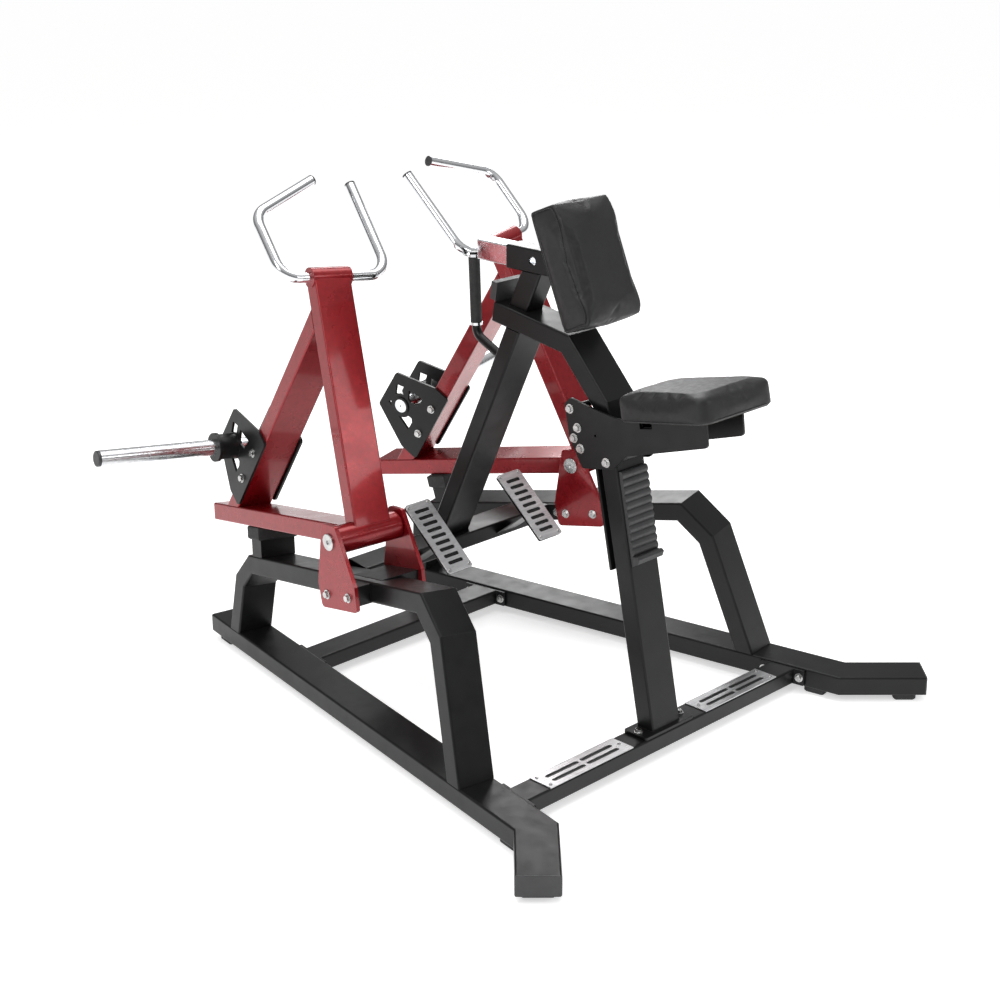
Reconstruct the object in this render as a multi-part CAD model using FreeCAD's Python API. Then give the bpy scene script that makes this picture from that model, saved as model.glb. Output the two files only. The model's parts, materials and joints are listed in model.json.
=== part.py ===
"""Plate-loaded, chest-supported seated row machine with two swinging arms.

Millimetres, +Z up, +X to the user's right, the user sits at the front (-Y) and faces +Y.
The right half is built and mirrored. Shapes are built on a datum with z = 0 on top of the
base rails and y = 0 at the rails' inner front bend, and set on the floor when they are written.
"""
import FreeCAD, Part
import math
import os
from FreeCAD import Matrix, Placement, Rotation, Vector

os.makedirs("parts", exist_ok=True)

# ---------------------------------------------------------------- driving dimensions
# Box section of the frame
TUBE_W = 120.0
TUBE_D = 60.0
WALL = 3.0
CORNER_R = 6.0

# Base rails
FOOT_H = 22.0
RAIL_BEND_X = 627.0
RAIL_SPLAY = 10.4
RAIL_TOE = 45.0
RAIL_LENGTH = 1770.0
RAIL_TOE_LENGTH = 270.0
CAP_T = 4.0
CAP_PLUG = 22.0
CAP_CLEARANCE = 0.3
FOOT_LENGTH = 70.0
FOOT_INSET = 12.0
FOOT_CHAMFER = 5.0

# Crossbars between the rails
BAR_DROP = 5.0
BAR_H = 50.0
FRONT_BAR_Y = 145.0
FRONT_BAR_D = 87.0
REAR_BAR_Y = 1248.0
REAR_BAR_D = 95.0
FLANGE_T = 9.0
FLANGE_OVERHANG = 34.0

# Arches: they stand on the rails and lean inwards
ARCH_Y = 310.6
ARCH_LEAN = 5.4
ARCH_BASE = 1344.0
ARCH_HEIGHT = 483.0
ARCH_SLOPE = 0.2056
ARCH_FRONT_KNEE = (142.0, 394.0)
ARCH_FRONT_TOP = 254.0
ARCH_REAR_TOP = 1246.0
ARCH_REAR_KNEE = (1323.0, 190.0)

# Upper crossbeam between the arches
BEAM_Y = 1010.0
BEAM_D = 105.0
BEAM_LIFT = 5.4
BEAM_H = 50.0
BEAM_FLANGE_L = 190.0

# Arm pivots: placed along the arch, above its top and in from its outer face
PIVOT_BACK = 620.2
PIVOT_RISE = 133.3
PIVOT_INSET = 38.4
PIVOT_YAW = 6.3
PIVOT_SPAN = 247.0
PIVOT_PLATE_T = 12.0
PIVOT_SHAFT_R = 15.0
PIVOT_TUBE_R = 41.5
PIVOT_TUBE_WALL = 5.0
PIVOT_SIDE_GAP = 4.0
BEARING_L = 30.0
RUNNING_FIT = 0.05
PIVOT_CAP_R = 25.0
PIVOT_CAP_T = 6.0
STUB_FRONT = -108.0
STUB_REAR = 45.0
STUB_DROP = 132.0
PIVOT_PLATE_OUTLINE = ((-28, 54), (37, 47), (63.5, -139), (45.5, -213.8), (-131.9, -177.6), (-120.9, -104.6))
PIVOT_PLATE_R = 14.0
PIVOT_BOLTS = ((17.7, -166.6), (-88.8, -144.1))
CAP_SOCKET_R = 7.0

# Arm A-frame, in the arch's leaning plane: places are (back, up) from the pivot
ARM_OUTSET = 10.0
ARM_W = 120.0
ARM_D = 55.0
ARM_R = 5.0
ARM_REST_GAP = 0.4
ARM_BEAM_L = 850.8
ARM_LEG_FOOT = (-15.2, 54.0)
ARM_LEG_TOP = (269.8, 685.5)
ARM_BACK_LEG_FOOT = (680.8, -112.0)
ARM_BACK_LEG_TOP = (264.8, 539.0)

# Handle and its sleeve
SLEEVE_AT = (301.8, 690.0)
SLEEVE_R = 29.5
SLEEVE_L = 130.0
SLEEVE_PROUD = 3.0
HANDLE_R = 16.0
HANDLE_WALL = 3.0
HANDLE_TILT = 46.8
HANDLE_BEND_R = 62.0
HANDLE_INSIDE = 257.0
HANDLE_INSIDE_L = 318.0
HANDLE_INSIDE_TOE = 19.0
HANDLE_OUTSIDE = 99.5
HANDLE_OUTSIDE_L = 218.0
HANDLE_OUTSIDE_FLARE = 19.5
HANDLE_TOP = (335.0, 107.5)
PLUG_T = 5.0
SLEEVE_CLEARANCE = 0.1

# Weight horn and its plates
HORN_AT = (713.8, 76.6)
HORN_R = 25.0
HORN_SPIGOT_R = 23.0
HORN_WALL = 4.0
HORN_END_T = 30.0
HORN_CENTRE_R = 2.5
HORN_LENGTH = 600.0
HORN_PLATE_T = 8.0
HORN_BOSS_R = 40.0
HORN_BOSS_L = 59.0
HORN_FLANGE_R = 45.5
HORN_FLANGE_T = 11.0
HORN_CAP_T = 10.0
HORN_CAP_R = 24.5
HORN_RING_R = 31.0
HORN_RING_T = 4.0
HORN_WINDOW_R = 42.0
HORN_PLATE_EDGE = 8.0
HORN_PLATE_R = 12.0
HORN_PLATE_LOW = 8.0
HORN_PLATE_HIGH = 294.0
HORN_BOLT_LOW = 100.0
HORN_BOLT_HIGH = 217.0

# Bumpers under the arms
BUMPER_BACK = 534.8
BUMPER_L = 60.0
BUMPER_POST_H = 55.0
BUMPER_PAD_L = 72.0
BUMPER_PAD_W = 140.0
BUMPER_PAD_H = 42.0

# Main post: leans back, bends twice and runs level to the rear
POST_BASE_Y = 160.4
POST_LEAN = 11.94
POST_KNEE_Z = 951.0
POST_ELBOW_Y = 512.0
POST_ELBOW_Z = 1114.0
POST_END_Y = 806.7
POST_TOP_RISE = 8.8
POST_PLATE_T = 9.0
POST_PLATE_W = 214.0
POST_PLATE_D = 86.0

# Rear post and chest post
REAR_POST_LEAN = 24.9
REAR_POST_SETBACK = 29.3
REAR_POST_D = 54.0
CHEST_POST_Y = 701.2
CHEST_POST_W = 70.0

# Chest sleeve, tube and pad
SLIDE_Z = 1295.0
SLIDE_W = 70.0
SLIDE_WALL = 4.5
SLIDE_FRONT = 592.0
SLIDE_REAR = 782.0
CHEST_CLEARANCE = 0.5
CHEST_TUBE_REAR = 905.0
CHEST_TRAVEL = 100.0
PAD_LEAN = 23.2
PAD_W = 236.0
PAD_H = 362.0
PAD_T = 106.0
PAD_REAR_Y = 466.0
PAD_REAR_Z = 1131.0
PAD_BOARD_T = 14.0
PAD_BOARD_INSET = 12.0
PAD_SHOULDER = 18.0
PAD_LOW_ROUND = 56.0
PAD_HIGH_ROUND = 74.0
CHEST_PIN_Y = 678.5
CHEST_PIN_R = 6.0
CHEST_PIN_CLEARANCE = 0.5
CHEST_WINDOW_R = 13.0
KNOB_R = 17.0
PIN_HOUSING_R = 12.0
PIN_HOUSING_L = 24.0

# Fixed centre grip behind the rear post
GRIP_R = 13.5
GRIP_STUB_L = 168.7
GRIP_BEND = (940.0, 1027.0)
GRIP_TOP_Y = 951.0
GRIP_TOP_Z = 1276.0
GRIP_BEND_R = 40.0
GRIP_RUBBER_R = 17.0
GRIP_LOW_Z = 1057.0
GRIP_HIGH_Z = 1262.0
RING_R = 19.0
RING_T = 8.0

# Seat carriage, measured in the leaning post's own axes
SEAT_PLATE_GAP = 13.0
SEAT_PLATE_T = 8.0
SEAT_ARM_FRONT = -364.0
SEAT_ARM_TOP = 926.0
SEAT_ARM_DEEP = 74.0
SEAT_PLATE_REAR = ((-33, 7), (54, 37), (120, 64), (146, 48), (146, -54), (112, -141), (-5, -141), (-62, -103))
SEAT_PLATE_R = 12.0
SEAT_PLATE_HOLE = (45.0, -46.0)
SEAT_HOLE_R = 4.0
NOTCH_FRONT = -171.0
NOTCH_REAR = -127.0
NOTCH_DEEP = 24.0
LATCH_R = 14.0
LATCH_GAP = 2.0
SPACER_R = 9.0
ROLLER_R = 25.0
ROLLER_GAP = 0.4
SEAT_BOARD_T = 12.0
SEAT_BOARD_INSET = 14.0
SEAT_CORNER_R = 38.0
SEAT_L = 348.0
SEAT_REAR = -80.0
SEAT_T = 82.0
SEAT_REAR_W = 248.0
SEAT_FRONT_W = 312.0
STRIP_OFF = 14.0
STRIP_T = 8.0
RACK_INSET = 6.0
RACK_T = 9.0
RACK_PITCH = 22.5
RACK_WAVES = 11
RACK_SWELL = 5.0
RACK_BOTTOM = 524.0

# Foot plates and step plates
FOOT_PLATE_X0 = 147.0
FOOT_PLATE_W = 99.0
FOOT_PLATE_L = 254.0
FOOT_PLATE_AHEAD = 200.0
FOOT_PLATE_DROP = 3.0
FOOT_PLATE_PITCH = 40.4
FOOT_PLATE_T = 3.0
FOOT_BACK_T = 8.0
FOOT_SLOTS = 9
FOOT_SLOT_H = 12.0
FOOT_MARGIN = 20.0
FOOT_BAR_RISE = 37.6
FOOT_BAR_H = 50.0
FOOT_BAR_SETBACK = 32.0
FOOT_BAR_R = 14.0
STEP_X0 = 162.0
STEP_L = 341.0
STEP_D = 81.0
STEP_T = 3.0

# Fasteners
BOLT_HEAD_R = 10.5
BOLT_CROWN = 0.86
BOLT_HEAD_H = 8.0
WASHER_R = 14.0
WASHER_T = 2.5
SCREW_R = 5.0
SCREW_H = 3.0

# Small features: rounds, edge distances and set-backs
FOOT_FROM_END = 62.0
FOOT_FROM_BEND = 90.0
FLANGE_CORNER_R = 4.0
FLANGE_BOLT_EDGE = 20.0
ARCH_BOLT_EDGE = 3.0
SCREW_DOME = 0.6
PIVOT_CAP_ROUND = 1.5
PIVOT_SOCKET_FLOOR = 0.4
HORN_CAP_ROUND = 3.0
BUMPER_LIP = 5.0
BUMPER_ROUND = 4.0
POST_PLATE_R = 8.0
POST_BOLT_EDGE = 17.0
BACK_LEG_TAIL = 1.6

# Horn plates, measured from the horn's centre line
HORN_PLATE_REAR = [(11.0, 118.0), (96.0, -7.0), (12.0, -150.0)]
HORN_PLATE_REAR_EDGE = 2.0
WINDOW_ABOVE = [(12.0, 76.0), (20.0, 40.0), (-12.0, 40.0), (-19.0, 70.0)]
WINDOW_TO_LEG = [(-38.0, 61.0), (-94.0, 40.0), (-67.0, 8.0), (-30.0, 20.0)]
WINDOW_BEHIND = [(54.0, 9.0), (30.0, 12.0), (-6.0, -20.0), (-40.0, -40.0), (-40.0, -54.0), (-21.0, -82.0)]

# Guide strip, toothed rack and seat carriage, measured down the main post
STRIP_TAIL = 42.0
STRIP_HEAD = 6.0
STRIP_WEB_W = 36.0
RACK_LIP = [(0.0, 0.0), (-26.0, 0.0), (-32.0, -8.0), (-24.0, -22.0), (0.0, -30.0)]
SEAT_ARM_SETBACK = 6.0
ROLLER_DROPS = (23.0, 83.0)
ROLLER_SIDE_GAP = 2.0
SPACER_BACK = 127.0
SPACER_RISES = (32.0, -53.0)
LATCH_DROP = 106.0
BLOCK_LOW = 135.0
BLOCK_HIGH = 10.0
BLOCK_NEAR = 8.0
BLOCK_REACH = 50.0
BLOCK_CLEARANCE = 1.0
BLOCK_BOLT = (16.0, -122.0)

# Chest pad, its sleeve and its pin
PAD_LOW_BOW = 5.0
PAD_LOW_SHARE = 0.4
PAD_HIGH_BOW = 6.0
PAD_HIGH_SHARE = 0.46
SLEEVE_CORNER_R = 5.0
CHEST_TUBE_R = 4.0
PIN_TIP = 6.0
KNOB_T = 24.0
KNOB_ROUND = 5.0

# Foot plate and step plates
FOOT_PLATE_R = 8.0
FOOT_BACK_INSET = 1.0
STEP_SLOT_X = 36.0
STEP_SLOT_Y = 18.0
STEP_SLOT_L = 130.0
STEP_SLOT_W = 14.0
STEP_SLOT_PITCH_X = 140.0
STEP_SLOT_PITCH_Y = 27.0
STEP_SCREW_EDGE = 16.0
STEP_SCREW_INSET = 14.0
STEP_SETBACK = 2.0

# Longer than any piece, for cutting tools and trimmed ends; a drill's run past a face; edge-picking slack
FAR = 1000.0
NEAR = 400.0
SPARE = 10.0
SLACK = 0.01

# ---------------------------------------------------------------- places and planes
FLOOR_TO_RAIL_TOP = FOOT_H + TUBE_D
RAIL_DIRECTION = Vector(-math.sin(math.radians(RAIL_SPLAY)), math.cos(math.radians(RAIL_SPLAY)), 0)
TOE_DIRECTION = Vector(math.sin(math.radians(RAIL_TOE)), -math.cos(math.radians(RAIL_TOE)), 0)
RAIL_OUTWARD = Vector(math.cos(math.radians(RAIL_SPLAY)), math.sin(math.radians(RAIL_SPLAY)), 0)
TOE_OUTWARD = Vector(math.cos(math.radians(RAIL_TOE)), math.sin(math.radians(RAIL_TOE)), 0)
FRONT_MOST = -(RAIL_TOE_LENGTH * math.cos(math.radians(RAIL_TOE)))
REAR_MOST = (RAIL_LENGTH * RAIL_DIRECTION + TUBE_W * RAIL_OUTWARD).y
MIDDLE_Y = (FRONT_MOST + REAR_MOST) / 2


def axes(origin, first, second):
    """Placement whose local X and Y axes are two perpendicular directions in the machine."""
    third = first.cross(second)
    matrix = Matrix(first.x, second.x, third.x, origin.x,
                    first.y, second.y, third.y, origin.y,
                    first.z, second.z, third.z, origin.z,
                    0, 0, 0, 1)
    return Placement(matrix)


lean = math.radians(ARCH_LEAN)
RISE = Vector(0, 0, math.cos(lean)) - RAIL_OUTWARD * math.sin(lean)
rail_outer_start = Vector(RAIL_BEND_X, 0, 0) + RAIL_OUTWARD * TUBE_W
along = (ARCH_Y - rail_outer_start.y) / RAIL_DIRECTION.y
ARCH_ORIGIN = rail_outer_start + RAIL_DIRECTION * along
OUTWARD = RAIL_DIRECTION.cross(RISE)
# Arch plane: local X runs back along the rail, Y up the lean, Z outwards
ARCH = axes(ARCH_ORIGIN, RAIL_DIRECTION, RISE)
# Side plane through the machine's middle: local X back, Y up, Z to the right
SIDE = axes(Vector(0, 0, 0), Vector(0, 1, 0), Vector(0, 0, 1))


def arch_top(s):
    """Height of the arch's sloping top at a distance along its plane."""
    return ARCH_HEIGHT - ARCH_SLOPE * (s - ARCH_FRONT_TOP)


def from_pivot(place):
    """A place given from the pivot, in the arch plane's own axes."""
    return (PIVOT_BACK + place[0], PIVOT_HEIGHT + place[1])


PIVOT_HEIGHT = arch_top(PIVOT_BACK) + PIVOT_RISE
LEG_LINE = [from_pivot(ARM_LEG_FOOT), from_pivot(ARM_LEG_TOP)]
BACK_LEG_LINE = [from_pivot(ARM_BACK_LEG_FOOT), from_pivot(ARM_BACK_LEG_TOP)]
SLEEVE = from_pivot(SLEEVE_AT)
HORN = from_pivot(HORN_AT)
BUMPER_S = PIVOT_BACK + BUMPER_BACK
BEAM_S = (BEAM_Y + BEAM_D / 2 - ARCH_ORIGIN.y) / RAIL_DIRECTION.y + TUBE_W * math.sin(math.radians(RAIL_SPLAY))
BEAM_TOP = ARCH.multVec(Vector(BEAM_S, arch_top(BEAM_S), -TUBE_W)).z + BEAM_LIFT
REAR_POST_Y = BEAM_Y + REAR_POST_SETBACK
CHEST_TUBE_W = SLIDE_W - 2 * SLIDE_WALL - 2 * CHEST_CLEARANCE
SEAT_PLATE_X = TUBE_W / 2 + SEAT_PLATE_GAP
RACK_W = TUBE_W - 2 * RACK_INSET
post_lean = math.radians(POST_LEAN)
POST_UP = Vector(0, math.sin(post_lean), math.cos(post_lean))
POST_BACK = Vector(0, math.cos(post_lean), -math.sin(post_lean))
# Post plane: local X back from the post's front face, Y up along it, Z to the right
POST = axes(Vector(0, POST_BASE_Y, 0), POST_BACK, POST_UP)
yaw = math.radians(PIVOT_YAW)
PIVOT_AT = ARCH.multVec(Vector(PIVOT_BACK, PIVOT_HEIGHT, -PIVOT_INSET))
PIVOT_AXIS = Vector(math.cos(yaw), math.sin(yaw), 0)
# Pivot plane: local X back, Y up, Z outwards along the pivot
PIVOT = axes(PIVOT_AT, Vector(-math.sin(yaw), math.cos(yaw), 0), Vector(0, 0, 1))


# ---------------------------------------------------------------- shape helpers
def offset_line(points, distance):
    """The same bent line moved sideways to its right by a distance, with mitred bends."""
    moved = []
    for index, (x, y) in enumerate(points):
        normals = []
        for first, second in ((index - 1, index), (index, index + 1)):
            if first < 0 or second >= len(points):
                continue
            dx = points[second][0] - points[first][0]
            dy = points[second][1] - points[first][1]
            length = math.hypot(dx, dy)
            normals.append((dy / length, -dx / length))
        nx = sum(normal[0] for normal in normals)
        ny = sum(normal[1] for normal in normals)
        scale = distance * len(normals) / (nx * nx + ny * ny)
        moved.append((x + nx * scale, y + ny * scale))
    return moved


def face_of(points):
    corners = [Vector(x, y, 0) for x, y in points]
    return Part.Face(Part.makePolygon(corners + corners[:1]))


def prism(points, low, high):
    """Flat outline extruded between two heights of its own plane."""
    solid = face_of(points).extrude(Vector(0, 0, high - low))
    solid.translate(Vector(0, 0, low))
    return solid


def extend(points, length):
    """A bent line made longer at both ends."""
    result = [tuple(point) for point in points]
    for end, neighbour in ((0, 1), (-1, -2)):
        dx = result[end][0] - result[neighbour][0]
        dy = result[end][1] - result[neighbour][1]
        share = length / math.hypot(dx, dy)
        result[end] = (result[end][0] + dx * share, result[end][1] + dy * share)
    return result


def envelope(line, depth, low, high):
    """Solid bar that follows a bent line on its left side."""
    return prism(list(line) + offset_line(line, depth)[::-1], low, high)


def long_edges(solid, line, depth, low, high):
    """Edges of an envelope along its length: every edge of the two flat faces but the end cuts."""
    moved = offset_line(line, depth)
    ends = []
    for index in (0, -1):
        ends.append(Vector((line[index][0] + moved[index][0]) / 2, (line[index][1] + moved[index][1]) / 2, 0))
    chosen = []
    for edge in solid.Edges:
        heights = [vertex.Point.z for vertex in edge.Vertexes]
        if max(heights) - min(heights) > SLACK:
            continue
        middle = edge.CenterOfMass
        flat = Vector(middle.x, middle.y, 0)
        if min(flat.distanceToPoint(end) for end in ends) > SLACK:
            chosen.append(edge)
    return chosen


def bent_tube(line, depth, low, high, radius=CORNER_R, wall=WALL):
    """Rectangular tube with rounded corners along a bent line, open at both ends."""
    outer = envelope(line, depth, low, high)
    outer = outer.makeFillet(radius, long_edges(outer, line, depth, low, high))
    core_line = extend(offset_line(line, wall), wall)
    core = envelope(core_line, depth - 2 * wall, low + wall, high - wall)
    return outer.cut(core)


def rounded(points, radius, low, high):
    """Flat plate with rounded outline corners."""
    plate = prism(points, low, high)
    upright = [edge for edge in plate.Edges
               if abs(edge.Vertexes[0].Point.z - edge.Vertexes[1].Point.z) > 0.5 * (high - low)]
    return plate.makeFillet(radius, upright)


def rectangle(x0, y0, x1, y1):
    return [(x0, y0), (x1, y0), (x1, y1), (x0, y1)]


def box(x0, y0, z0, x1, y1, z1):
    return Part.makeBox(x1 - x0, y1 - y0, z1 - z0, Vector(x0, y0, z0))


def rod(radius, start, end):
    span = end - start
    return Part.makeCylinder(radius, span.Length, start, span)


def pipe_along(points, bend_radius, radius, bore=0.0):
    """Round rod or tube along straight runs joined by tangent arcs."""
    edges = []
    start = points[0]
    for index in range(1, len(points) - 1):
        before = (points[index - 1] - points[index]).normalize()
        after = (points[index + 1] - points[index]).normalize()
        half = before.getAngle(after) / 2
        reach = bend_radius / math.tan(half)
        entry = points[index] + before * reach
        leave = points[index] + after * reach
        bisector = (before + after).normalize()
        middle = points[index] + bisector * (bend_radius / math.sin(half) - bend_radius)
        edges.append(Part.LineSegment(start, entry).toShape())
        edges.append(Part.Arc(entry, middle, leave).toShape())
        start = leave
    edges.append(Part.LineSegment(start, points[-1]).toShape())
    path = Part.Wire(edges)
    direction = points[1] - points[0]
    solids = []
    for size in (radius, bore):
        if size:
            ring = Part.Wire([Part.makeCircle(size, points[0], direction)])
            solids.append(path.makePipeShell([ring], True, False))
    return solids[0].cut(solids[1]) if bore else solids[0]


def placed(solid, placement):
    moved = solid.copy()
    moved.Placement = placement.multiply(moved.Placement)
    return moved


def mirrored(shape):
    return shape.mirror(Vector(0, 0, 0), Vector(1, 0, 0))


def group(solids):
    """One node of several separate solids."""
    flat = []
    for solid in solids:
        flat.extend(solid.Solids)
    return flat[0] if len(flat) == 1 else Part.makeCompound(flat)


def both_sides(solids):
    return list(solids) + [mirrored(solid) for solid in solids]


def write(node, *solids):
    """Sets a node on the floor, centres it front to back and writes it."""
    shape = group(solids)
    shape.translate(Vector(0, -MIDDLE_Y, FLOOR_TO_RAIL_TOP))
    shape.exportStep("parts/" + node + ".step")


def write_pair(node, *solids):
    write("right_" + node, *solids)
    write("left_" + node, *[mirrored(solid) for solid in solids])


def hexagon(radius, height):
    points = [(radius * math.cos(k * math.pi / 3), radius * math.sin(k * math.pi / 3)) for k in range(6)]
    return prism(points, 0, height)


def bolt(at, direction):
    """Hex bolt head with a chamfered crown on a washer, standing on a face."""
    head = hexagon(BOLT_HEAD_R, BOLT_HEAD_H)
    cone = Part.makeCone(BOLT_HEAD_R / BOLT_CROWN, BOLT_HEAD_R * BOLT_CROWN, BOLT_HEAD_H)
    head = head.common(cone)
    head.translate(Vector(0, 0, WASHER_T))
    body = head.fuse(Part.makeCylinder(WASHER_R, WASHER_T))
    body.Placement = Placement(at, Rotation(Vector(0, 0, 1), direction))
    return body


def screw(at, direction):
    """Low domed screw head on a face."""
    head = Part.makeCylinder(SCREW_R, SCREW_H)
    rim = [edge for edge in head.Edges if edge.CenterOfMass.z > SCREW_H - SLACK]
    head = head.makeFillet(SCREW_H * SCREW_DOME, rim)
    socket = hexagon(SCREW_R * 0.5, SCREW_H)
    socket.translate(Vector(0, 0, SCREW_H * 0.5))
    head = head.cut(socket)
    head.Placement = Placement(at, Rotation(Vector(0, 0, 1), direction))
    return head


# ---------------------------------------------------------------- base rails, caps and feet
def rail_line():
    """Inner edge of the right rail, from the toe to the rear."""
    toe = TOE_DIRECTION * (RAIL_TOE_LENGTH - CAP_T)
    rear = RAIL_DIRECTION * (RAIL_LENGTH - CAP_T)
    return [(RAIL_BEND_X + toe.x, toe.y), (RAIL_BEND_X, 0.0), (RAIL_BEND_X + rear.x, rear.y)]


def end_cap(placement):
    """Plastic cap on a rail's cut end: local X across the rail, Y up, Z out of the end."""
    plate = rounded(rectangle(0, 0, TUBE_W, TUBE_D), CORNER_R, 0, CAP_T)
    inset = WALL + CAP_CLEARANCE
    plug = prism(rectangle(inset, inset, TUBE_W - inset, TUBE_D - inset), -CAP_PLUG, 0)
    return placed(plate.fuse(plug), placement)


def foot(centre, across):
    """Rubber foot under a rail, wider at the rail than at the floor."""
    half_w = TUBE_W / 2 - FOOT_INSET
    half_l = FOOT_LENGTH / 2
    pad = rounded(rectangle(-half_w, -half_l, half_w, half_l), FOOT_INSET, -FOOT_H, 0)
    low = [edge for edge in pad.Edges if edge.BoundBox.ZMax < -FOOT_H + SLACK]
    pad = pad.makeChamfer(FOOT_CHAMFER, low)
    return placed(pad, axes(centre - Vector(0, 0, TUBE_D), across, Vector(0, 0, 1).cross(across)))


def base():
    rail = bent_tube(rail_line(), TUBE_W, -TUBE_D, 0)
    write_pair("base_rail", rail)
    up = Vector(0, 0, 1)
    corner = Vector(RAIL_BEND_X, 0, -TUBE_D)
    toe_end = corner + TOE_DIRECTION * (RAIL_TOE_LENGTH - CAP_T)
    rear_end = corner + RAIL_DIRECTION * (RAIL_LENGTH - CAP_T) + RAIL_OUTWARD * TUBE_W
    caps = [end_cap(axes(toe_end, TOE_OUTWARD, up)), end_cap(axes(rear_end, RAIL_OUTWARD * -1, up))]
    write("tube_end_caps", *both_sides(caps), post_cap())
    top = Vector(RAIL_BEND_X, 0, 0)
    toe_foot = top + TOE_DIRECTION * (RAIL_TOE_LENGTH - FOOT_FROM_END) + TOE_OUTWARD * (TUBE_W / 2)
    bend_foot = top + RAIL_DIRECTION * FOOT_FROM_BEND + RAIL_OUTWARD * (TUBE_W / 2)
    rear_foot = top + RAIL_DIRECTION * (RAIL_LENGTH - FOOT_FROM_END) + RAIL_OUTWARD * (TUBE_W / 2)
    feet = [foot(toe_foot, TOE_OUTWARD), foot(bend_foot, RAIL_OUTWARD), foot(rear_foot, RAIL_OUTWARD)]
    write("rubber_feet", *both_sides(feet))


# ---------------------------------------------------------------- crossbars
def crossbar(front_y, depth):
    """Bar between the rails with a flange plate on each rail, and its bolts."""
    middle = front_y + depth / 2
    inner_x = RAIL_BEND_X + RAIL_DIRECTION.x / RAIL_DIRECTION.y * middle
    face = Vector(inner_x, middle, -BAR_DROP - BAR_H / 2)
    flange_half = depth / 2 + FLANGE_OVERHANG
    plate_at = axes(face, RAIL_DIRECTION, Vector(0, 0, 1))
    outline = rectangle(-flange_half, -BAR_H / 2, flange_half, BAR_H / 2)
    plate = placed(rounded(outline, FLANGE_CORNER_R, -FLANGE_T, 0), plate_at)
    reach = inner_x + TUBE_W
    bar = bent_tube([(0.0, 0.0), (0.0, 2 * reach)], BAR_H, 0, depth)
    bar = placed(bar, axes(Vector(-reach, front_y, -BAR_DROP - BAR_H), Vector(0, 0, 1), Vector(1, 0, 0)))
    outside = placed(prism(rectangle(-2 * FAR, -NEAR, 2 * FAR, NEAR), -FLANGE_T, 2 * FAR), plate_at)
    bar = bar.cut(outside).cut(mirrored(outside))
    bolts = []
    for side in (-1, 1):
        at = face - RAIL_OUTWARD * FLANGE_T + RAIL_DIRECTION * (side * (depth / 2 + FLANGE_OVERHANG / 2))
        bolts.append(bolt(at, RAIL_OUTWARD * -1))
    return bar.fuse(plate).fuse(mirrored(plate)), both_sides(bolts)


# ---------------------------------------------------------------- arches
def arch_line():
    knee = ARCH_FRONT_KNEE
    line = [(0.0, 0.0), knee, (ARCH_FRONT_TOP, arch_top(ARCH_FRONT_TOP))]
    line += [(ARCH_REAR_TOP, arch_top(ARCH_REAR_TOP)), ARCH_REAR_KNEE, (ARCH_BASE, 0.0)]
    return extend(line, TUBE_D)


def below_rails():
    return box(-2 * FAR, -2 * FAR, -NEAR, 2 * FAR, 4 * FAR, 0)


def arch():
    return placed(bent_tube(arch_line(), TUBE_D, -TUBE_W, 0), ARCH).cut(below_rails())


def arch_envelope():
    return placed(envelope(arch_line(), TUBE_D, -TUBE_W, 0), ARCH)


# ---------------------------------------------------------------- upper crossbeam
def upper_crossbeam():
    s = BEAM_S
    half = BEAM_FLANGE_L / 2
    inset = ARCH_BOLT_EDGE
    line = [(s - half, arch_top(s - half) - inset), (s + half, arch_top(s + half) - inset)]
    flange = placed(envelope(line, TUBE_D - 2 * inset, -TUBE_W - FLANGE_T, -TUBE_W), ARCH)
    reach = RAIL_BEND_X
    bar = bent_tube([(0.0, 0.0), (0.0, 2 * reach)], BEAM_H, 0, BEAM_D)
    bar = placed(bar, axes(Vector(-reach, BEAM_Y, BEAM_TOP - BEAM_H), Vector(0, 0, 1), Vector(1, 0, 0)))
    outside = placed(prism(rectangle(-3 * FAR, -3 * FAR, 3 * FAR, 3 * FAR), -TUBE_W - FLANGE_T, 2 * FAR), ARCH)
    bar = bar.cut(outside).cut(mirrored(outside))
    bolts = []
    for side in (-1, 1):
        at = s + side * (half - FLANGE_BOLT_EDGE)
        place = ARCH.multVec(Vector(at, arch_top(at) - TUBE_D / 2, -TUBE_W - FLANGE_T))
        bolts.append(bolt(place, OUTWARD * -1))
    return bar.fuse(flange).fuse(mirrored(flange)), both_sides(bolts)


# ---------------------------------------------------------------- arm pivots
def stub_outline():
    points = []
    for x, drop in ((STUB_FRONT, 0.0), (STUB_REAR, 0.0), (STUB_REAR, TUBE_D), (STUB_FRONT, TUBE_D)):
        points.append((x, -STUB_DROP - ARCH_SLOPE * x - drop))
    return points


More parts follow.
